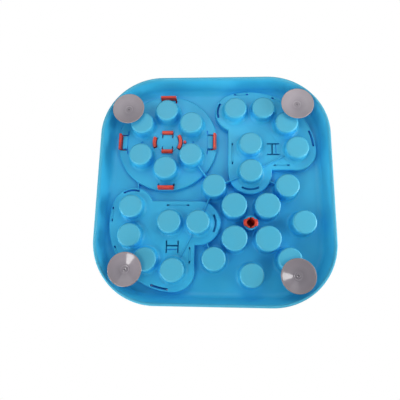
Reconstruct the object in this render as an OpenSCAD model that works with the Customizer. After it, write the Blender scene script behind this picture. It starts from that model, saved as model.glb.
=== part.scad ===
// Treat puzzle board for dogs: a square tray with treat cups, a turntable lid,
// four sliding lids, a four-armed spinner lid and four suction cups.
// Frame: +Z up, play side up, origin on the resting surface under the middle of the tray.

/* [Tray] */
// Width of the square rim
tray_w = 251; // [248:1:256]
// Corner radius of the rim
corner_r = 67; // [65:1:69]
// Height of the rim and of the cup bottoms above the resting surface
rim_z = 6; // [6:0.5:7]
// Wall thickness of the skirt and the deck
wall = 2.4; // [2.2:0.1:2.6]
// Height from the rim to the underside of the deck
deck_h = 20; // [19:0.5:21]
// Flare of the skirt from the vertical, in degrees
flare = 20.3; // [18:0.1:22]
// Radius of the inner bend between skirt and deck
bend_r = 8; // [6:0.5:9]

/* [Treat cups] */
// Outer radius of a cup at its closed end
cup_r = 12.3; // [12:0.1:12.5]
// Outer radius of the four larger cups round the spinner
big_cup_r = 13.25; // [13:0.05:13.5]
// Wall thickness of a cup
cup_wall = 1.7; // [1.5:0.1:1.9]
// Rounding of the closed end
cup_edge = 2.0; // [1.4:0.1:2.2]
// Rounding at the root of a cup
cup_root = 4; // [3:0.5:4.5]

/* [Sliding zones] */
// Height from the rim to the underside of the L-shaped zones
zone_h = 12; // [11.5:0.5:12.5]
// Radius of the curved row of cups
arc_r = 50.6; // [50:0.1:51]
// Angle between neighbouring cups of the curved row
arc_pitch = 35.2; // [35:0.1:35.4]
// Half width of the zone along the curved row
lobe_r = 22.7; // [22.5:0.1:23]
// Half width of the zone along the straight row
col_r = 24; // [23.5:0.1:24.2]
// Half width of the windows in the track covers
win_r = 12.5; // [12:0.1:12.8]
// Gap between a sliding lid and its window
slide_gap = 0.4; // [0.3:0.05:0.6]

/* [Turntable] */
// Height from the rim to the underside of the round zone
round_h = 15; // [14.5:0.5:15.5]
// Outer radius of the round zone
round_r = 56.6; // [56:0.1:57]
// Radius of the turning disc
disc_r = 49.2; // [48.5:0.1:49.2]
// Radius of the hub neck that the disc turns on
neck_r = 21.4; // [21:0.1:21.5]
// Running gap between hub neck and disc
neck_gap = 0.08; // [0.04:0.01:0.1]

/* [Spinner] */
// Radius of the pin shaft that the wheel turns on
pin_r = 7; // [6.8:0.1:7.2]
// Running gap between pin and wheel
pin_gap = 0.06; // [0.04:0.01:0.1]
// Radius of the split end of the pin
pin_low_r = 5.8; // [5.6:0.1:6]
// Half width of the arms of the wheel
arm_r = 14.2; // [13.8:0.1:14.4]

/* [Suction cups] */
// Radius of the lip
suck_r = 17.4; // [17:0.1:18]

/* [Hidden] */
$fn = 96;

// levels
deck_u = rim_z + deck_h;
deck_t = deck_u + wall;
zone_u = rim_z + zone_h;
zone_t = zone_u + wall;
ledge_t = zone_t + 3.6;
cover_t = ledge_t + 2.4;
round_u = rim_z + round_h;
round_t = round_u + wall;
disc_b = round_t + 0.4;
disc_t = disc_b + 2.8;
lip_b = disc_t + 0.4;
wheel_b = deck_t + 1.2;
wheel_t = wheel_b + 4.2;

core = tray_w / 2 - corner_r;
out_r = bend_r + wall;
bend_x = corner_r - out_r * cos(flare)
    - (deck_u - bend_r + out_r * sin(flare) - rim_z) * tan(flare);
rim_in = bend_x + bend_r * cos(flare)
    + (deck_u - bend_r + bend_r * sin(flare) - rim_z) * tan(flare);

// places in plan
turn_c = [-52.8, -52.8];
turn_cups = [[0, 33.2], [27.4, 18.3], [27.4, -18.3], [0, -33.2], [-27.4, -18.3], [-27.4, 18.3]];
spin_c = [39.2, 39.2];
ring_r = 54.7;
ring_cups = [for (a = [225, 315, 0, 45, 90, 135]) spin_c + ring_r * [cos(a), sin(a)]];
big_off = 17.35;
big_cups = [for (a = [45 : 90 : 315]) spin_c + big_off * sqrt(2) * [cos(a), sin(a)]];
arc_c = [39, -39.7];
arc_a = -18;
arc_end = arc_a + 3 * arc_pitch;
function on_arc(a, r) = arc_c + r * [sin(a), -cos(a)];
arc_cups = [for (i = [0 : 3]) on_arc(arc_a + i * arc_pitch, arc_r)];
cup_d = [39.6, -46.6];
cup_e = [39.6, -16.2];
slide_len = cup_e[1] - cup_d[1];
suck_at = [[-94.6, -85], [90, -89.3], [-88.9, 89.7], [84, 93.9]];

function bow(cx, cz, r, a0, a1, n) =
    [for (i = [0 : n]) let (a = a0 + (a1 - a0) * i / n) [cx + r * cos(a), cz + r * sin(a)]];

// section of deck, bend, skirt and rim; x runs outwards from the corner centre
module skirt_section() {
    polygon(concat(
        [[0, deck_t]],
        bow(bend_x, deck_u - bend_r, out_r, 90, flare, 7),
        [[corner_r - 0.25, rim_z + 0.7], [corner_r - 0.5, rim_z + 0.2], [corner_r - 0.9, rim_z],
         [rim_in + 0.5, rim_z], [rim_in + 0.1, rim_z + 0.2], [rim_in - 0.2, rim_z + 0.6]],
        bow(bend_x, deck_u - bend_r, bend_r, flare, 90, 7),
        [[0, deck_u]]));
}

module shell() {
    translate([-core, -core, deck_u]) cube([2 * core, 2 * core, wall]);
    for (i = [0 : 3]) rotate([0, 0, 90 * i]) {
        translate([core, core, 0]) rotate([90, 0, 0]) linear_extrude(2 * core) skirt_section();
        translate([core, core, 0]) rotate_extrude(angle = 90) skirt_section();
    }
}

// round plug with a rounded lower edge
module soft_disc(r, z0, z1, e) {
    rotate_extrude() polygon(concat([[0, z0]], bow(r - e, z0 + e, e, 270, 360, 5), [[r, z1], [0, z1]]));
}

// closed lower end of a treat cup, joined to a floor whose underside is at zf
module cup_outside(r, zf, root = cup_root) {
    rb = r + 0.038 * (zf - rim_z - cup_edge - root);
    rotate_extrude() polygon(concat(
        [[0, rim_z]],
        bow(r - cup_edge, rim_z + cup_edge, cup_edge, 270, 360, 6),
        bow(rb + root, zf - root, root, 180, 98, 6),
        [[rb + root, zf + 1], [0, zf + 1]]));
}

// hollow of a treat cup that opens upwards at zt
module cup_inside(r, zt) {
    ri = r - cup_wall;
    zb = rim_z + 1.8;
    rm = ri + 0.038 * (zt - zb);
    rotate_extrude() polygon(concat(
        [[0, zb]],
        bow(ri - 2.4, zb + 2.4, 2.4, 270, 360, 4),
        [[rm, zt - 0.8], [rm + 1.2, zt + 0.4], [rm + 1.2, zt + 1.2], [0, zt + 1.2]]));
}

// part of a flat ring, angles from the +X axis
module ring_part(r0, r1, a0, a1, z0, z1) {
    rotate([0, 0, a0]) rotate_extrude(angle = a1 - a0) translate([r0, z0]) square([r1 - r0, z1 - z0]);
}

// curved band with straight sides along the row of cups
module arc_band(half, a0, a1, z0, z1) {
    translate([arc_c[0], arc_c[1], 0])
        ring_part(arc_r - half, arc_r + half, a0 - 90, a1 - 90, z0, z1);
}

// outside of the L-shaped zone, with a rounded lower edge
module zone_outside() {
    e = 1.5;
    step = 0.03;
    translate([arc_c[0], arc_c[1], 0]) rotate([0, 0, arc_a - 90])
        rotate_extrude(angle = arc_end - arc_a) polygon(concat(
            [[arc_r - lobe_r + 4, zone_u]],
            bow(arc_r + lobe_r - e, zone_u + e, e, 270, 360, 5),
            [[arc_r + lobe_r, deck_u + 1], [arc_r - lobe_r + 4, deck_u + 1]]));
    for (p = [arc_cups[0], arc_cups[3]]) translate([p[0], p[1], 0])
        soft_disc(lobe_r - 0.05, zone_u + step, deck_u + 1, e);
    translate([cup_e[0] - 0.3, cup_e[1], 0]) soft_disc(col_r - 0.05, zone_u + 2 * step, deck_u + 1, e);
    // straight limb
    translate([cup_e[0] - 0.3, cup_e[1], 0]) rotate([90, 0, 0]) linear_extrude(58) polygon(concat(
        bow(-col_r + e, zone_u + 3 * step + e, e, 180, 270, 5), bow(col_r - e, zone_u + 3 * step + e, e, 270, 360, 5),
        [[col_r, deck_u + 1], [-col_r, deck_u + 1]]));
    // block between the limb and the far end of the curve
    translate([cup_e[0], -66, 0]) rotate([90, 0, 90]) linear_extrude(47) polygon(concat(
        [[0, zone_u + 4 * step]], bow(46.4 - e, zone_u + 4 * step + e, e, 270, 360, 5), [[46.4, deck_u + 1], [0, deck_u + 1]]));
}

// plain prism inside the zone, d in from its outside
module zone_inside(d, z0, z1) {
    step = 0.01;
    h = z1 - z0;
    arc_band(lobe_r - d, arc_a, arc_end, z0, z1);
    for (p = [arc_cups[0], arc_cups[3]]) translate([p[0], p[1], z0 + step])
        cylinder(r = lobe_r - d - 0.05, h = h - 2 * step);
    translate([cup_e[0] - 0.3, cup_e[1], z0 + 2 * step]) cylinder(r = col_r - d - 0.05, h = h - 4 * step);
    translate([cup_e[0] - 0.3 - col_r + d, cup_e[1] - 57, z0 + 3 * step]) cube([2 * (col_r - d), 57, h - 6 * step]);
    translate([cup_e[0], -65, z0 + 4 * step]) cube([46, 65 - 19.6 - d, h - 8 * step]);
}

// clip places of a track cover that show a tab; w is the width across, g the extra length at each end
module clips(w, g, z0, z1) {
    translate([30.4, -109.6, 0]) rotate([0, 0, -1.5]) translate([-6.8 - g, -w / 2, z0]) cube([13.6 + 2 * g, w, z1 - z0]);
    translate([20.2 - w / 2, -49.5 - g, z0]) cube([w, 22 + 2 * g, z1 - z0]);
    translate([66.5 - g, -25 - w / 2, z0]) cube([14.5 + 2 * g, w, z1 - z0]);
    translate([arc_c[0], arc_c[1], 0]) ring_part(70.5 - w / 2, 70.5 + w / 2, -67.5 - 0.9 * g, -55 + 0.9 * g, z0, z1);
}

// clip places whose tab ends inside the slot; out is how far the tab leans to the outer side
module deep_clips(w, g, z0, z1, out = 0) {
    a = out - w / 2;
    b = out + w / 2;
    translate([arc_cups[0][0], arc_cups[0][1], 0]) ring_part(19.8 + a, 19.8 + b, 165 - 3 * g, 209 + 3 * g, z0, z1);
    translate([arc_c[0], arc_c[1], 0]) ring_part(70.5 + a, 70.5 + b, -20 - 0.9 * g, -7 + 0.9 * g, z0, z1);
    translate([cup_e[0], cup_e[1], 0]) ring_part(18.5 + a, 18.5 + b, 64 - 3 * g, 116 + 3 * g, z0, z1);
}

// slit pattern of the spring tongues between the two tracks
module tongue_slits() {
    for (y = [-49.7, -37.4]) translate([58.4, y - 0.7, zone_u - 1]) cube([13.3, 1.4, wall + 2]);
    translate([63.2, -49.7, zone_u - 1]) cube([1.5, 12.3, wall + 2]);
    translate([67.6, -49.7, zone_u - 1]) cube([0.9, 12.3, 2]);
}

module zone_cuts() {
    zone_inside(2.2, ledge_t, deck_t + 1);
    zone_inside(4.2, zone_t, ledge_t + 0.5);
    clips(1.5, 1.3, zone_u - 1, ledge_t + 0.5);
    deep_clips(2.2, 1.3, zone_u - 1, ledge_t + 0.5);
    tongue_slits();
    for (p = concat(arc_cups, [cup_d, cup_e])) translate([p[0], p[1], 0]) cup_inside(cup_r, zone_t);
}

// thin stiffening web between two points in plan
module web(p, q, z0, z1) {
    d = q - p;
    translate([p[0], p[1], z0]) rotate([0, 0, atan2(d[1], d[0])])
        translate([0, -0.55, 0]) cube([norm(d), 1.1, z1 - z0]);
}

// webs between the cup groups, cut to meet them
module webs() {
    difference() {
        union() {
            for (q = [cup_e, [cup_e[1], cup_e[0]], turn_c + turn_cups[1]]) web(ring_cups[0], q, rim_z + 9.5, deck_u + 1);
            web(cup_e, ring_cups[1], rim_z + 13, deck_u + 1);
            web([cup_e[1], cup_e[0]], ring_cups[5], rim_z + 13, deck_u + 1);
            web([-83.6, -20], [-84.2, 8], round_u + 0.6, deck_u + 1);
        }
        zone_outside();
        mirror([1, -1, 0]) zone_outside();
        translate([turn_c[0], turn_c[1], 0]) soft_disc(round_r, round_u, deck_u + 1, 1.6);
        for (p = [cup_e, [cup_e[1], cup_e[0]]]) translate([p[0], p[1], 0]) cup_outside(cup_r, zone_u);
        translate([turn_c[0] + turn_cups[1][0], turn_c[1] + turn_cups[1][1], 0]) cup_outside(cup_r, round_u);
        for (i = [0, 1, 5]) translate([ring_cups[i][0], ring_cups[i][1], 0]) cup_outside(cup_r, deck_u);
        above_deck();
    }
}

// everything above the underside of the deck
module above_deck() {
    translate([-200, -200, deck_u]) cube([400, 400, 30]);
}

// slots of the round zone's floor
module turn_cuts() {
    translate([turn_c[0], turn_c[1], 0]) {
        translate([0, 0, round_t]) cylinder(r = round_r - 2.2, h = 12);
        for (i = [0 : 3]) rotate([0, 0, 90 * i]) {
            translate([51.4, -8.9, round_u - 3]) cube([2.7, 17.8, wall + 4]);
            for (s = [-1, 1]) translate([i % 2 == 0 ? 45.2 : 48.2, s * 8.4 - 1, round_u - 3])
                cube([i % 2 == 0 ? 6.4 : 3.4, 2, wall + 4]);
            if (i % 2 == 0) for (s = [-1, 1]) translate([44.3, s * 11.7 - 2.1, round_u - 1])
                cube([1.3, 4.2, 2.2]);
        }
        for (s = [-1, 1]) {
            translate([-6.4, s * 10.4 - 1.35, round_u - 3]) cube([12.8, 2.7, wall + 4]);
            for (t = [-1, 1]) translate([t * 5.8 - 0.65, s > 0 ? 4.9 : -9.2, round_u - 3])
                cube([1.3, 4.3, wall + 4]);
        }
        ring_part(12.7, 17.0, 155, 205, round_u - 1, round_t + 1);
        ring_part(12.7, 17.0, -33, 33, round_u - 1, round_t + 1);
        translate([19.7, 0, round_u - 1]) cylinder(r = 1.7, h = wall + 2);
        translate([-29, 0, round_u - 1]) cylinder(r = 1.1, h = 1.9);
        translate([29, 0, round_u - 1]) cylinder(r = 1.1, h = 1.9);
        for (p = turn_cups) translate([p[0], p[1], 0]) cup_inside(cup_r, round_t);
    }
}

// deck, skirt, axle boss and webs of the moulding
module tray() {
    color([0.18, 0.66, 0.86]) difference() {
        union() {
            difference() {
                shell();
                spinner_plate();
            }
            translate([spin_c[0], spin_c[1], rim_z + 9.5]) cylinder(r = 7.8, h = deck_t - rim_z - 9.3);
            translate([spin_c[0], spin_c[1], deck_u + 1.4]) cylinder(r = 12, h = wall - 1);
            webs();
        }
        zone_inside(2.2, ledge_t, deck_t + 1);
        mirror([1, -1, 0]) zone_inside(2.2, ledge_t, deck_t + 1);
        translate([turn_c[0], turn_c[1], round_t]) cylinder(r = round_r - 2.2, h = 12);
        for (p = ring_cups) translate([p[0], p[1], 0]) cup_inside(cup_r, deck_t);
        for (p = big_cups) translate([p[0], p[1], 0]) cup_inside(big_cup_r, deck_t);
        translate([spin_c[0], spin_c[1], rim_z]) cylinder(r = pin_low_r + 0.05, h = 40);
    }
}

// post for the stem of a suction cup, and its hole
module post(i) {
    translate([suck_at[i][0], suck_at[i][1], rim_z + 3]) cylinder(r = 6, h = deck_u - rim_z - 2);
}
module post_hole(i) {
    translate([suck_at[i][0], suck_at[i][1], rim_z]) cylinder(r = 3.05, h = 15);
}

// L-shaped group of six cups under the deck
module cup_block() {
    difference() {
        union() {
            zone_outside();
            web(cup_e, arc_cups[3], rim_z + 10.8, zone_u + 1);
            for (p = concat(arc_cups, [cup_d, cup_e])) translate([p[0], p[1], 0]) cup_outside(cup_r, zone_u);
            children();
        }
        zone_cuts();
        shell();
    }
}

module right_cup_block() {
    color([0.18, 0.66, 0.86]) difference() {
        cup_block() post(1);
        post_hole(1);
    }
}

module left_cup_block() {
    color([0.18, 0.66, 0.86]) difference() {
        mirror([1, -1, 0]) cup_block() mirror([1, -1, 0]) post(2);
        post_hole(2);
    }
}

// round group of six cups under the deck
module round_cup_block() {
    color([0.18, 0.66, 0.86]) difference() {
        union() {
            translate([turn_c[0], turn_c[1], 0]) {
                soft_disc(round_r, round_u, deck_u + 1, 1.6);
                for (i = [0 : 3]) rotate([0, 0, 90 * i]) translate([i % 2 == 0 ? 45.6 : 48.6, -7.4, round_u - (i % 2 == 0 ? 1.6 : 1)])
                    cube([i % 2 == 0 ? 5.4 : 2.4, 14.8, 2.4]);
                translate([0, 0, round_u - 0.7]) cylinder(r = 12, h = 1.5);
                for (p = turn_cups) translate([p[0], p[1], 0]) cup_outside(cup_r, round_u);
            }
            post(0);
        }
        turn_cuts();
        post_hole(0);
        above_deck();
    }
}

// thin layer of the deck that joins the cups under the spinner wheel
module spinner_plate() {
    translate([spin_c[0], spin_c[1], deck_u]) {
        cylinder(r = 30, h = 1);
        translate([20, -5, 0]) cube([26, 10, 1]);
        translate([-5, 20, 0]) cube([10, 26, 1]);
    }
}

// the cups under the spinner wheel
module spinner_cup_block() {
    color([0.18, 0.66, 0.86]) difference() {
        union() {
            difference() {
                union() {
                    for (p = ring_cups) translate([p[0], p[1], 0]) cup_outside(cup_r, deck_u);
                    for (p = big_cups) translate([p[0], p[1], 0]) cup_outside(big_cup_r, deck_u, 2.6);
                    post(3);
                }
                shell();
            }
            spinner_plate();
        }
        for (p = ring_cups) translate([p[0], p[1], 0]) cup_inside(cup_r, deck_t);
        for (p = big_cups) translate([p[0], p[1], 0]) cup_inside(big_cup_r, deck_t);
        translate([spin_c[0], spin_c[1], rim_z]) cylinder(r = 7.8, h = 40);
        post_hole(3);
    }
}

module turntable_bezel() {
    color([0.9, 0.28, 0.2]) translate([turn_c[0], turn_c[1], 0]) {
        rotate_extrude() polygon(concat(
            [[disc_r + 0.4, round_t], [round_r - 2.5, round_t]],
            bow(round_r - 4.1, lip_b + 1.4, 1.6, 0, 90, 5),
            bow(disc_r - 1.7, lip_b + 1.4, 1.6, 90, 180, 5),
            [[disc_r - 3.3, lip_b + 0.4], [disc_r - 2.9, lip_b], [disc_r + 0.4, lip_b]]));
        for (i = [0 : 3]) rotate([0, 0, 90 * i]) translate([0, 8.6, 0]) rotate([90, 0, 0])
            linear_extrude(17.2) polygon([[51.7, round_t + 0.5], [53.8, round_t + 0.5], [53.8, round_u - 0.3],
                [55.4, round_u - 0.5], [55.4, round_u - 2.6], [54.2, round_u - 6.6], [53.8, round_u - 7],
                [52.2, round_u - 7], [51.7, round_u - 6.5]]);
    }
}

module turntable_disc() {
    color([0.3, 0.72, 0.9]) translate([turn_c[0], turn_c[1], 0]) {
        difference() {
            union() {
                translate([0, 0, disc_b]) cylinder(r = disc_r, h = disc_t - disc_b);
                for (a = [90, 210, 330]) rotate([0, 0, a]) translate([33, 0, 0])
                    rotate_extrude() polygon(concat([[10.2, disc_t - 0.5], [12.0, disc_t - 0.5]],
                        bow(11.2, disc_t + 0.6, 0.8, 0, 180, 6), [[10.2, disc_t]]));
            }
            translate([0, 0, disc_b - 1]) cylinder(r = neck_r + neck_gap, h = 10);
            translate([0, 0, disc_t + 0.05]) cylinder(r = 24.7, h = 5);
            for (a = [90, 210, 330]) rotate([0, 0, a]) translate([33, 0, 0])
                rotate_extrude() polygon([[0, disc_b - 1], [10.3, disc_b - 1], [10.3, disc_t + 3], [0, disc_t + 3]]);
        }
        for (a = [30, 150, 270]) rotate([0, 0, a]) translate([33, 0, 0])
            rotate_extrude() polygon(concat([[0, disc_t - 0.5], [8.2, disc_t - 0.5], [8.2, disc_t],
                [6.6, disc_t + 1.6], [6.0, disc_t + 4.2]],
                bow(4.4, disc_t + 7.2, 2.6, -10, 90, 7), [[3, disc_t + 9.8], [0, disc_t + 9]]));
    }
}

module turntable_hub() {
    color([0.9, 0.28, 0.2]) translate([turn_c[0], turn_c[1], 0]) {
        rotate_extrude() polygon(concat(
            [[0, round_t], [neck_r, round_t], [neck_r, lip_b], [23.6, lip_b], [24.2, lip_b + 0.5]],
            bow(22.6, lip_b + 1.6, 1.6, 0, 80, 5),
            [[15.4, lip_b + 4], [14.6, lip_b + 3.2], [12.4, lip_b + 3.2], [11.6, lip_b + 4.2], [6, lip_b + 5.2], [0, lip_b + 5.5]]));
        for (s = [-1, 1]) rotate([0, 0, s * 90]) translate([0, 6.1, 0]) rotate([90, 0, 0])
            linear_extrude(12.2) polygon([[9.4, round_t + 0.5], [11.4, round_t + 0.5], [11.4, round_u - 1.0],
                [13.3, round_u - 1.2], [13.3, round_u - 2.4], [12, round_u - 4], [9.8, round_u - 4], [9.4, round_u - 3.6]]);
        ring_part(13.2, 16.6, 157.5, 202.5, round_u - 3, round_t + 0.5);
        ring_part(13.2, 16.6, -31, 31, round_u - 3, round_t + 0.5);
        translate([19.7, 0, round_u - 2.6]) cylinder(r = 1.5, h = wall + 3.1);
    }
}

module track_cover() {
    difference() {
        union() {
            zone_inside(2.5, ledge_t, cover_t);
            clips(1.25, -1.3, zone_u - 0.3, ledge_t + 0.4);
            deep_clips(0.6, -0.4, zone_u + 1.7, ledge_t + 0.4, 0.6);
        }
        arc_band(win_r, arc_a, arc_end, ledge_t - 1, cover_t + 1);
        for (p = [arc_cups[0], arc_cups[3]]) translate([p[0], p[1], ledge_t - 1])
            cylinder(r = win_r - 0.02, h = 6);
        for (p = [cup_d, cup_e]) translate([p[0], p[1], ledge_t - 1]) cylinder(r = win_r - 0.02, h = 6);
        translate([cup_d[0] - win_r, cup_d[1], ledge_t - 1]) cube([2 * win_r, slide_len, 6]);
        // pressed line between the two windows
        translate([arc_c[0], arc_c[1], 0]) ring_part(29.2, 31.2, -120, 10, cover_t - 0.7, cover_t + 1);
    }
}

module arc_slider() {
    a1 = arc_a + arc_pitch;
    k = win_r - slide_gap;
    difference() {
        union() {
            arc_band(15.5, arc_a, a1, zone_t + 0.4, ledge_t - 0.4);
            arc_band(k, arc_a, a1, ledge_t - 0.5, cover_t + 1.2);
            for (p = [arc_cups[0], arc_cups[1]]) translate([p[0], p[1], 0]) {
                translate([0, 0, zone_t + 0.4]) cylinder(r = 15.48, h = ledge_t - zone_t - 0.8);
                translate([0, 0, ledge_t - 0.5]) rotate_extrude() polygon(concat(
                    [[0, 0]], [[k - 0.02, 0]], bow(k - 1.02, cover_t + 0.9 - ledge_t, 1, 0, 90, 4), [[0, cover_t + 1.9 - ledge_t]]));
            }
            // finger knob
            translate(concat(on_arc(arc_a + arc_pitch / 2, arc_r), [0])) rotate_extrude() polygon(concat(
                [[0, cover_t], [10.6, cover_t], [10.6, cover_t + 1.2], [8.4, cover_t + 2.6], [7.4, cover_t + 6.4]],
                bow(6.2, cover_t + 9.2, 2.4, -10, 90, 7), [[4.6, cover_t + 11.6], [3.4, cover_t + 10.8], [0, cover_t + 10.4]]));
        }
        for (p = [arc_cups[0], arc_cups[1]]) translate([p[0], p[1], cover_t + 0.5])
            rotate_extrude() polygon([[6.4, 0], [7.6, 0], [8, 3], [6, 3]]);
    }
}

module straight_slider() {
    k = win_r - slide_gap;
    translate([cup_d[0], cup_d[1], 0]) rotate_extrude() polygon(concat(
        [[0, zone_t + 0.4], [15.5, zone_t + 0.4], [15.5, ledge_t - 0.4], [k, ledge_t - 0.4]],
        bow(k - 1.2, deck_t - 0.6, 1.2, 0, 90, 4),
        [[9.4, deck_t + 0.6], [8.6, deck_t - 1.4], [4.2, deck_t - 1.8], [3.6, deck_t - 0.4], [0, deck_t - 0.2]]));
}

module right_track_cover() { color([0.18, 0.66, 0.86]) track_cover(); }
module left_track_cover() { color([0.18, 0.66, 0.86]) mirror([1, -1, 0]) track_cover(); }
module right_arc_slider() { color([0.9, 0.28, 0.2]) arc_slider(); }
module left_arc_slider() { color([0.9, 0.28, 0.2]) mirror([1, -1, 0]) arc_slider(); }
module right_straight_slider() { color([0.9, 0.28, 0.2]) straight_slider(); }
module left_straight_slider() { color([0.9, 0.28, 0.2]) mirror([1, -1, 0]) straight_slider(); }

module spinner_wheel() {
    big_d = big_off * sqrt(2);
    color([0.9, 0.28, 0.2]) translate([spin_c[0], spin_c[1], 0]) difference() {
        union() {
            soft_lid(16.4, wheel_b - 0.3, wheel_t + 0.3);
            for (a = [45 : 90 : 315]) rotate([0, 0, a]) {
                translate([big_d, 0, 0]) soft_lid(arm_r, wheel_b, wheel_t);
                translate([ring_r, 0, 0]) soft_lid(arm_r, wheel_b, wheel_t);
                translate([big_d, 0, 0]) rotate([90, 0, 90]) linear_extrude(ring_r - big_d) polygon(concat(
                    [[-9.5, wheel_b + 0.3], [9.5, wheel_b + 0.3]], bow(8.3, wheel_t - 1.7, 1.2, 0, 90, 5),
                    bow(-8.3, wheel_t - 1.7, 1.2, 90, 180, 5)));
                // raised grip on the outer end of the arm
                translate([ring_r, 0, 0]) rotate_extrude() polygon(concat(
                    [[0, wheel_t - 0.5], [8.2, wheel_t - 0.5], [8.2, wheel_t], [7, wheel_t + 1.2], [6.4, wheel_t + 3]],
                    bow(5, wheel_t + 5, 1.8, -10, 90, 6), [[3.6, wheel_t + 6.8], [0, wheel_t + 6]]));
            }
        }
        translate([0, 0, wheel_b - 1]) cylinder(r = pin_r + pin_gap, h = 10);
        for (a = [45 : 90 : 315]) rotate([0, 0, a]) translate([big_d, 0, wheel_t - 0.9])
            rotate_extrude() polygon([[7.4, 0], [8.8, 0], [9.2, 3], [7, 3]]);
    }
}

// round lid plate with a rounded upper edge
module soft_lid(r, z0, z1) {
    rotate_extrude() polygon(concat([[0, z0], [r, z0]], bow(r - 1.6, z1 - 1.6, 1.6, 0, 90, 5), [[0, z1]]));
}

module spinner_pin() {
    top = wheel_t + 0.7;
    low = rim_z + 8;
    color([0.9, 0.28, 0.2]) translate([spin_c[0], spin_c[1], 0]) difference() {
        union() {
            translate([0, 0, deck_t + 0.4]) cylinder(r = pin_r, h = top - deck_t + 0.1);
            rotate_extrude() polygon(concat(
                [[0, top], [12.2, top], [12.8, top + 0.5]], bow(11.2, top + 1.8, 1.6, 0, 75, 5),
                [[7.4, top + 4.4], [6.4, top + 3.7], [0, top + 3.9]]));
            translate([0, 0, low]) cylinder(r = pin_low_r, h = deck_t - low + 0.8);
            // ears that catch under the boss
            intersection() {
                rotate_extrude() polygon([[0, low - 0.4], [6.2, low - 0.4], [7.7, low + 0.5], [7.7, low + 1.2], [0, low + 1.2]]);
                translate([-9, -3.6, low - 1]) cube([18, 7.2, 3]);
            }
        }
        translate([0, 0, low - 1]) cylinder(r = 4.2, h = 22);
        translate([-1, -8, low - 1]) cube([2, 16, 9]);
    }
}

module suction_cup() {
    rotate_extrude() polygon(concat(
        [[0, 3.2], [2.2, 3.2], [4, 2.9]],
        [[10, 1.9], [14.6, 0.9], [suck_r - 1.5, 0], [suck_r - 0.2, 0], [suck_r, 0.3], [suck_r - 0.1, 0.8]],
        [[15, 1.9], [10, 3.6], [6.2, 4.9], [4.7, 5.4], [3.7, 5.8], [3.6, rim_z + 2.6], [3, rim_z + 2.8], [3, rim_z + 14], [2.4, rim_z + 14.6], [0, rim_z + 14.6]]));
}

module suction_cup_front_left() { color([0.62, 0.58, 0.62, 0.8]) translate([suck_at[0][0], suck_at[0][1], 0]) suction_cup(); }
module suction_cup_front_right() { color([0.62, 0.58, 0.62, 0.8]) translate([suck_at[1][0], suck_at[1][1], 0]) suction_cup(); }
module suction_cup_rear_left() { color([0.62, 0.58, 0.62, 0.8]) translate([suck_at[2][0], suck_at[2][1], 0]) suction_cup(); }
module suction_cup_rear_right() { color([0.62, 0.58, 0.62, 0.8]) translate([suck_at[3][0], suck_at[3][1], 0]) suction_cup(); }

tray();
right_cup_block();
left_cup_block();
round_cup_block();
spinner_cup_block();
turntable_bezel();
turntable_disc();
turntable_hub();
right_track_cover();
right_arc_slider();
right_straight_slider();
left_track_cover();
left_arc_slider();
left_straight_slider();
spinner_wheel();
spinner_pin();
suction_cup_front_left();
suction_cup_front_right();
suction_cup_rear_left();
suction_cup_rear_right();
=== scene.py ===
"""Looks of a treat puzzle board for dogs: moulded blue and red plastic on soft grey suction cups."""

import math

import bmesh
import bpy
from mathutils import Matrix, Vector


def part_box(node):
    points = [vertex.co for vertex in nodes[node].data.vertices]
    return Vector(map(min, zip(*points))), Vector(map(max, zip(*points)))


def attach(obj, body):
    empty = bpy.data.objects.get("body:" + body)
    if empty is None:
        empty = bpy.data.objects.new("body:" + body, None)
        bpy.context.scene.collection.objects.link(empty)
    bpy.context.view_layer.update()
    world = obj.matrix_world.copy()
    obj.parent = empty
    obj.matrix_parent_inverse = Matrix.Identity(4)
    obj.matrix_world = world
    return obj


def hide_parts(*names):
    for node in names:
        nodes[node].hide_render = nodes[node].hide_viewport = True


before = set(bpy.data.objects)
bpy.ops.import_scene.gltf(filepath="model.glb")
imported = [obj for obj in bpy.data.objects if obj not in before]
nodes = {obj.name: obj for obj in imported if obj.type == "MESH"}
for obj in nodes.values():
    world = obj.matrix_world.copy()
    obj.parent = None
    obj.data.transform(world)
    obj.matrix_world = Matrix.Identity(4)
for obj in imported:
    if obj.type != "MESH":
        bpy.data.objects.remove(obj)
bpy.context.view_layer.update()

scene = bpy.context.scene
scene.view_settings.view_transform = "Standard"
scene.view_settings.look = "None"

# ---------------------------------------------------------------- materials


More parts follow.
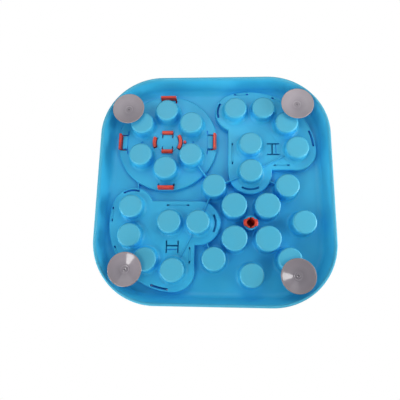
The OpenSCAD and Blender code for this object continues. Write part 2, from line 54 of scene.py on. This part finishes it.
class Graph:
    """Small helper to build one node material."""

    def __init__(self, name):
        self.mat = bpy.data.materials.new(name)
        self.mat.use_nodes = True
        self.tree = self.mat.node_tree
        self.tree.nodes.clear()
        self.out = self.tree.nodes.new("ShaderNodeOutputMaterial")
        self.bsdf = self.tree.nodes.new("ShaderNodeBsdfPrincipled")
        self.link(self.bsdf.outputs[0], self.out.inputs[0])
        self.coord = self.tree.nodes.new("ShaderNodeTexCoord").outputs["Object"]

    def new(self, kind, **props):
        n = self.tree.nodes.new(kind)
        for k, v in props.items():
            setattr(n, k, v)
        return n

    def link(self, a, b):
        self.tree.links.new(a, b)

    def noise(self, scale, detail=2.0, rough=0.5, vector=None):
        n = self.new("ShaderNodeTexNoise")
        n.inputs["Scale"].default_value = scale
        n.inputs["Detail"].default_value = detail
        n.inputs["Roughness"].default_value = rough
        self.link(vector or self.coord, n.inputs["Vector"])
        return n.outputs["Fac"]

    def ramp(self, fac, stops, mode="LINEAR"):
        r = self.new("ShaderNodeValToRGB")
        r.color_ramp.interpolation = mode
        e = r.color_ramp.elements
        while len(e) < len(stops):
            e.new(0.5)
        for el, (p, c) in zip(e, stops):
            el.position = p
            el.color = c if len(c) == 4 else (*c, 1.0)
        self.link(fac, r.inputs["Fac"])
        return r.outputs["Color"]

    def mix(self, fac, a, b, blend="MIX"):
        m = self.new("ShaderNodeMix", data_type="RGBA", blend_type=blend)
        for sock, v in ((m.inputs[0], fac), (m.inputs[6], a), (m.inputs[7], b)):
            if hasattr(v, "is_output"):
                self.link(v, sock)
            elif isinstance(v, (int, float)):
                sock.default_value = v
            else:
                sock.default_value = (*v, 1.0) if len(v) == 3 else v
        return m.outputs[2]

    def math(self, op, a, b=None, c=None, clamp=False):
        m = self.new("ShaderNodeMath", operation=op, use_clamp=clamp)
        for i, v in enumerate((a, b, c)):
            if v is None:
                continue
            if hasattr(v, "is_output"):
                self.link(v, m.inputs[i])
            else:
                m.inputs[i].default_value = v
        return m.outputs[0]

    def span(self, v, a0, a1, b0, b1):
        m = self.new("ShaderNodeMapRange")
        self.link(v, m.inputs[0])
        for i, x in enumerate((a0, a1, b0, b1)):
            m.inputs[i + 1].default_value = x
        return m.outputs[0]

    def edge(self, radius):
        """0 on flat faces, rising towards convex or concave edges; and the softened normal."""
        b = self.new("ShaderNodeBevel", samples=6)
        b.inputs["Radius"].default_value = radius
        g = self.new("ShaderNodeNewGeometry")
        d = self.new("ShaderNodeVectorMath", operation="DOT_PRODUCT")
        self.link(b.outputs[0], d.inputs[0])
        self.link(g.outputs["Normal"], d.inputs[1])
        return self.math("SUBTRACT", 1.0, d.outputs["Value"], clamp=True), b.outputs[0]

    def bump(self, height, strength, distance, normal=None):
        b = self.new("ShaderNodeBump")
        b.inputs["Strength"].default_value = strength
        b.inputs["Distance"].default_value = distance
        self.link(height, b.inputs["Height"])
        if normal is not None:
            self.link(normal, b.inputs["Normal"])
        return b.outputs[0]


def plastic(name, deep, base, pale, rough=0.36, coat=0.0, edge_highlight_gain=0.55, bevel=0.0007, floor_face_sheen=None, crevice_shade=None):
    """Satin moulded polypropylene: cloudy pigment, fine speckle, patchy gloss, painted highlights on its edges, fine
    moulded grain.

    With floor_face_sheen, a colour, the moulding is one with joins inside it: its faces nearest the floor are tinted
    that paler colour as a painted sheen, and edges near the deck's underside, where its groups of cups meet the deck,
    get no painted edge highlight. The crevice_shade colour is painted shade for narrow slits and corners; with it,
    hollows between the cups also get a painted deeper blue shade.
    """
    g = Graph(name)
    cloud = g.noise(14.0, 4.0, 0.55)
    speck = g.noise(700.0, 2.0, 0.6)
    colour = g.ramp(cloud, [(0.30, deep), (0.52, base), (0.74, pale)])
    rim, soft = g.edge(bevel)
    # painted highlight: edges found by the Bevel node are lightened towards the pale colour, in noisy patches
    edge_highlight = g.math("MULTIPLY", g.span(rim, 0.02, 0.30, 0.0, edge_highlight_gain), g.span(g.noise(60.0, 3.0, 0.6), 0.3, 0.7, 0.65, 1.0))
    if floor_face_sheen:
        sep = g.new("ShaderNodeSeparateXYZ")
        g.link(g.coord, sep.inputs[0])
        height = sep.outputs["Z"]
        # painted sheen: faces nearest the floor, below 6 to 10 mm, are mixed towards the paler floor_face_sheen teal,
        # in noisy patches
        sheen_mask = g.math("MULTIPLY", g.span(height, 0.0062, 0.0100, 1.0, 0.0), g.span(g.noise(45.0, 4.0, 0.6), 0.25, 0.7, 0.72, 1.0))
        colour = g.mix(sheen_mask, colour, floor_face_sheen)
        # no painted edge highlight and no softened normal at the joins near 26 mm height
        join = g.span(g.math("ABSOLUTE", g.math("SUBTRACT", height, 0.0260)), 0.0011, 0.0015, 0.0, 1.0)
        edge_highlight = g.math("MULTIPLY", edge_highlight, join)
        plain = g.new("ShaderNodeNewGeometry")
        blend = g.new("ShaderNodeMix", data_type="VECTOR")
        g.link(join, blend.inputs[0])
        g.link(plain.outputs["Normal"], blend.inputs[4])
        g.link(soft, blend.inputs[5])
        soft = blend.outputs[1]
    colour = g.mix(g.span(speck, 0.35, 0.7, 0.0, 0.07), colour, pale)
    # painted edge highlight mixed in
    colour = g.mix(edge_highlight, colour, pale)
    if crevice_shade:
        # painted shade: ambient occlusion darkens the hollows between the cups to a deeper blue, paints narrow slits
        # and corners the crevice_shade navy, and lowers their specular there
        wide = g.new("ShaderNodeAmbientOcclusion", samples=6)
        wide.inputs["Distance"].default_value = 0.016
        colour = g.mix(g.span(wide.outputs["AO"], 0.35, 0.85, 0.60, 0.0), colour, (0.022, 0.370, 0.800))
        near = g.new("ShaderNodeAmbientOcclusion", samples=8)
        near.inputs["Distance"].default_value = 0.0035
        colour = g.mix(g.span(near.outputs["AO"], 0.10, 0.42, 0.90, 0.0), colour, crevice_shade)
        g.link(g.span(near.outputs["AO"], 0.12, 0.50, 0.01, 0.28), g.bsdf.inputs["Specular IOR Level"])
    g.link(colour, g.bsdf.inputs["Base Color"])
    g.bsdf.inputs["Base Color"].default_value = (*base, 1.0)
    scuff = g.noise(110.0, 5.0, 0.65)
    g.link(g.span(scuff, 0.25, 0.75, rough - 0.07, rough + 0.09), g.bsdf.inputs["Roughness"])
    grain = g.noise(2600.0, 2.0, 0.5)
    wave = g.noise(24.0, 2.0, 0.4)
    n = g.bump(wave, 0.06, 0.002, soft)
    n = g.bump(grain, 0.10, 0.00012, n)
    g.link(n, g.bsdf.inputs["Normal"])
    g.bsdf.inputs["IOR"].default_value = 1.49
    g.bsdf.inputs["Specular IOR Level"].default_value = 0.28
    if coat:
        g.bsdf.inputs["Coat Weight"].default_value = coat
        g.bsdf.inputs["Coat Roughness"].default_value = 0.2
    return g.mat


SHELL = plastic("blue_polypropylene_shell", (0.038, 0.426, 0.692), (0.043, 0.450, 0.717), (0.062, 0.497, 0.752), floor_face_sheen=(0.078, 0.402, 0.560),
                crevice_shade=(0.020, 0.110, 0.950))
BLUE = plastic("blue_polypropylene", (0.038, 0.426, 0.692), (0.043, 0.450, 0.717), (0.062, 0.497, 0.752), crevice_shade=(0.020, 0.110, 0.950))
BLUE_LID = plastic("blue_lid_polypropylene", (0.060, 0.470, 0.740), (0.070, 0.500, 0.770), (0.110, 0.560, 0.810), rough=0.30)
RED = plastic("red_polypropylene", (0.600, 0.036, 0.018), (0.720, 0.050, 0.024), (0.860, 0.150, 0.080), rough=0.30, coat=0.15)


def vinyl(name, centre, dull, painted_light_tone):
    """Soft translucent grey vinyl: rings of the mould, a brownish lip line, cloudy body, clear gloss that dirt can
    dull; its colour is scaled by painted_light_tone, painted light and shade set for each cup.
    """
    g = Graph(name)
    sep = g.new("ShaderNodeSeparateXYZ")
    g.link(g.coord, sep.inputs[0])
    dx = g.math("SUBTRACT", sep.outputs["X"], centre[0])
    dy = g.math("SUBTRACT", sep.outputs["Y"], centre[1])
    r = g.math("SQRT", g.math("ADD", g.math("MULTIPLY", dx, dx), g.math("MULTIPLY", dy, dy)))
    t = g.math("DIVIDE", r, 0.0174)
    body = g.ramp(t, [(at, tuple(painted_light_tone * c for c in rgb)) for at, rgb in (
        (0.00, (0.16, 0.14, 0.155)), (0.05, (0.18, 0.155, 0.175)), (0.09, (0.30, 0.265, 0.285)), (0.14, (0.23, 0.20, 0.22)),
        (0.22, (0.33, 0.29, 0.315)), (0.26, (0.27, 0.235, 0.258)), (0.60, (0.300, 0.262, 0.285)), (0.90, (0.285, 0.245, 0.265)),
        (0.94, (0.34, 0.275, 0.280)), (0.97, (0.29, 0.215, 0.205)), (1.0, (0.36, 0.30, 0.295)),
    )])
    cloud = g.noise(120.0, 3.0, 0.55)
    colour = g.mix(g.span(cloud, 0.3, 0.7, 0.0, 0.16), body, (0.36 * painted_light_tone, 0.32 * painted_light_tone, 0.345 * painted_light_tone))
    g.link(colour, g.bsdf.inputs["Base Color"])
    g.link(g.span(g.noise(300.0, 4.0, 0.6), 0.3, 0.7, 0.08 + dull, 0.16 + 1.3 * dull), g.bsdf.inputs["Roughness"])
    n = g.bump(g.noise(260.0, 2.0, 0.5), 0.03, 0.0003)
    g.link(n, g.bsdf.inputs["Normal"])
    g.bsdf.inputs["IOR"].default_value = 1.52
    g.bsdf.inputs["Base Color"].default_value = (0.300, 0.262, 0.285, 1.0)
    g.bsdf.inputs["Coat Weight"].default_value = 0.35 - dull
    g.bsdf.inputs["Coat Roughness"].default_value = 0.06
    return g.mat


for node, obj in nodes.items():
    if node == "tray" or node.endswith("_cup_block"):
        mat = SHELL
    elif node.endswith("_track_cover"):
        mat = BLUE
    elif node == "turntable_disc":
        mat = BLUE_LID
    else:
        mat = RED
    for s in obj.material_slots:
        s.material = mat

# ---------------------------------------------------------------- suction cups


def lathe(name, profile, centre, steps):
    """Closed solid of revolution from (radius, height) points in millimetres that start and end on the axis."""
    bm = bmesh.new()
    rings = []
    for r, z in profile:
        if r < 1e-6:
            rings.append([bm.verts.new((centre[0], centre[1], z / 1000))])
        else:
            rings.append([bm.verts.new((centre[0] + r / 1000 * math.cos(2 * math.pi * k / steps),
                                        centre[1] + r / 1000 * math.sin(2 * math.pi * k / steps), z / 1000)) for k in range(steps)])
    for a, b in zip(rings, rings[1:]):
        for k in range(steps):
            j = (k + 1) % steps
            if len(a) == 1:
                bm.faces.new((a[0], b[k], b[j]))
            elif len(b) == 1:
                bm.faces.new((a[k], b[0], a[j]))
            else:
                bm.faces.new((a[k], b[k], b[j], a[j]))
    bmesh.ops.recalc_face_normals(bm, faces=bm.faces)
    mesh = bpy.data.meshes.new(name)
    bm.to_mesh(mesh)
    bm.free()
    for p in mesh.polygons:
        p.use_smooth = True
    o = bpy.data.objects.new(name, mesh)
    scene.collection.objects.link(o)
    return o


def cup_profile():
    """Underside from the axis outwards, over the lip, and back along the top to the stem."""
    under = [(0, 3.55), (0.7, 3.5), (1.1, 3.1), (1.5, 2.86), (1.9, 2.82), (2.3, 3.0), (2.6, 3.12), (3.2, 3.12), (3.7, 2.98), (4.1, 2.78),
             (4.6, 2.74), (5.2, 2.82)]
    dish = [(r, 2.80 - 0.235 * (r - 5.2)) for r in (5.5, 7.0, 9.0, 11.0, 13.0, 14.6, 15.6)]
    lip = [(16.1, 0.22), (16.5, 0.06), (16.8, 0.0), (17.12, 0.05), (17.34, 0.26), (17.38, 0.55), (17.2, 0.82)]
    top = [(16.6, 1.12), (15.5, 1.6), (14.0, 2.2), (12.0, 2.92), (10.0, 3.6), (8.0, 4.25), (6.4, 4.8), (5.2, 5.2), (4.3, 5.5), (3.8, 5.78),
           (3.6, 6.2), (3.58, 7.4), (3.5, 8.3), (3.2, 8.62), (2.98, 8.9), (2.96, 12), (2.96, 16), (2.9, 19.6), (2.4, 20.4), (0, 20.55)]
    return under + dish + lip + top


for node in [n for n in nodes if n.startswith("suction_cup")]:
    lo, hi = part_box(node)
    centre = ((lo[0] + hi[0]) / 2, (lo[1] + hi[1]) / 2)
    cup = lathe(node + "_soft", cup_profile(), centre, 72)
    # each cup gets its own roughness and its own painted_light_tone, a brighter or darker copy of one vinyl colour as
    # painted light and shade
    cup.data.materials.append(vinyl("grey_vinyl_" + node[12:], centre, *((0.28, 1.12 if centre[0] > 0 else 0.96) if centre[1] < 0 else (0.0, 0.78 if centre[0] > 0 else 0.92))))
    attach(cup, "board")
    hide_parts(node)

# ---------------------------------------------------------------- floor, light, camera


def floor():
    """Pale floor, seen from above only; the photograph's view looks at the underside from below it."""
    mesh = bpy.data.meshes.new("floor")
    s = 6.0
    mesh.from_pydata([(-s, -s, -0.0003), (s, -s, -0.0003), (s, s, -0.0003), (-s, s, -0.0003)], [], [(0, 1, 2, 3)])
    o = bpy.data.objects.new("floor", mesh)
    scene.collection.objects.link(o)
    g = Graph("pale_floor")
    g.link(g.mix(g.span(g.noise(3.0, 3.0, 0.5), 0.3, 0.7, 0.0, 1.0), (0.90, 0.865, 0.835), (0.93, 0.895, 0.865)), g.bsdf.inputs["Base Color"])
    g.bsdf.inputs["Roughness"].default_value = 0.7
    clear = g.new("ShaderNodeBsdfTransparent")
    side = g.new("ShaderNodeNewGeometry")
    mixer = g.new("ShaderNodeMixShader")
    g.link(side.outputs["Backfacing"], mixer.inputs[0])
    g.link(g.bsdf.outputs[0], mixer.inputs[1])
    g.link(clear.outputs[0], mixer.inputs[2])
    g.link(mixer.outputs[0], g.out.inputs[0])
    o.data.materials.append(g.mat)
    o.visible_shadow = o.visible_diffuse = o.visible_glossy = o.visible_transmission = False


floor()

world = bpy.data.worlds.new("studio")
scene.world = world
world.use_nodes = True
bg = world.node_tree.nodes["Background"]
bg.inputs["Color"].default_value = (0.45, 0.75, 1.0, 1.0)
bg.inputs["Strength"].default_value = 0.14
backdrop = world.node_tree.nodes.new("ShaderNodeBackground")
backdrop.inputs["Color"].default_value = (1.0, 1.0, 1.0, 1.0)
backdrop.inputs["Strength"].default_value = 1.0
seen = world.node_tree.nodes.new("ShaderNodeLightPath")
either = world.node_tree.nodes.new("ShaderNodeMixShader")
world.node_tree.links.new(seen.outputs["Is Camera Ray"], either.inputs[0])
world.node_tree.links.new(bg.outputs[0], either.inputs[1])
world.node_tree.links.new(backdrop.outputs[0], either.inputs[2])
world.node_tree.links.new(either.outputs[0], world.node_tree.nodes["World Output"].inputs[0])


def area(name, at, aim, size, power, colour=(1, 1, 1), size_y=None):
    light = bpy.data.lights.new(name, "AREA")
    light.energy = power
    light.color = colour
    light.size = size
    if size_y:
        light.shape = "RECTANGLE"
        light.size_y = size_y
    o = bpy.data.objects.new(name, light)
    o.location = at
    o.rotation_euler = (Vector(aim) - Vector(at)).to_track_quat("-Z", "Y").to_euler()
    scene.collection.objects.link(o)
    o.visible_camera = False
    return o


# the camera fitted to the photograph: a point p of the row frame, in millimetres, lies at turn @ (p - (0, 0, 6)) + shift
turn = Matrix.Rotation(-0.218578, 3, "X") @ Matrix.Rotation(0.051779, 3, "Y") @ Matrix.Rotation(0.016042, 3, "Z")
shift = Vector((14.46, -16.5723, 396.702))
eye = (Vector((0, 0, 6)) - turn.transposed() @ shift) / 1000
axes = Matrix((turn[0], -turn[1], -turn[2])).transposed()


def lamp(name, around, above, distance, power, size=0.22, tall=None):
    """Soft light on the underside's side, placed by its direction from the board: around from the picture's right, and above its plane."""
    a, e = math.radians(around), math.radians(above)
    d = axes @ Vector((math.cos(a) * math.cos(e), math.sin(a) * math.cos(e), math.sin(e)))
    middle = Vector((0, 0, 0.015))
    return area(name, middle + d * distance, middle, size, power, (1.0, 0.995, 0.985), tall)


lamp("low_right", 0, 15, 0.40, 1.34, tall=0.10)
lamp("low_left", 196, 15, 0.40, 0.54, tall=0.10)
lamp("top_left", 140, 45, 0.38, 0.14)
lamp("top", 97, 42, 0.38, 0.36)
lamp("top_right", 42, 42, 0.38, 0.11)
lamp("low_bottom_left", 236, 20, 0.42, 0.68, tall=0.10)
for panel in (
    lamp("far_right_panel", 0, 52, 1.0, 1.15, 0.60),
    lamp("far_bottom_left_panel", 225, 55, 1.0, 1.75, 0.60),
    lamp("far_bottom_panel", 270, 55, 1.0, 0.40, 0.60),
    lamp("far_bottom_right_panel", 315, 55, 1.0, 0.10, 0.50),
):
    panel.visible_glossy = False
# the two small windows mirrored in the suction cups on the picture's lower side
area("window_left", (-0.493, 0.411, -0.849), (-0.089, 0.090, 0.001), 0.20, 0.90, (1.0, 0.995, 0.985))
area("window_right", (0.663, 0.059, -0.805), (0.084, 0.094, 0.001), 0.20, 0.90, (1.0, 0.995, 0.985))

# light for the play side and the floor
for name, power, spread, way in (("sky", 2.35, 1.0, (0.20, 0.28, -1.0)), ("key", 0.95, 0.35, (0.70, 0.60, -0.85))):
    sky = bpy.data.lights.new(name, "SUN")
    sky.energy = power
    sky.angle = spread
    sky.color = (1.0, 0.995, 0.985)
    sky_light = bpy.data.objects.new(name, sky)
    sky_light.rotation_euler = Vector(way).to_track_quat("-Z", "Y").to_euler()
    scene.collection.objects.link(sky_light)

cam_data = bpy.data.cameras.new("camera")
cam_data.sensor_fit = "HORIZONTAL"
cam_data.sensor_width = 36.0
cam_data.lens = 375.337 / 400 * 36.0
cam_data.clip_start = 0.01
cam_data.clip_end = 50
cam = bpy.data.objects.new("camera", cam_data)
cam.matrix_world = Matrix.Translation(eye) @ axes.to_4x4()
scene.collection.objects.link(cam)
scene.camera = cam

bpy.context.view_layer.update()
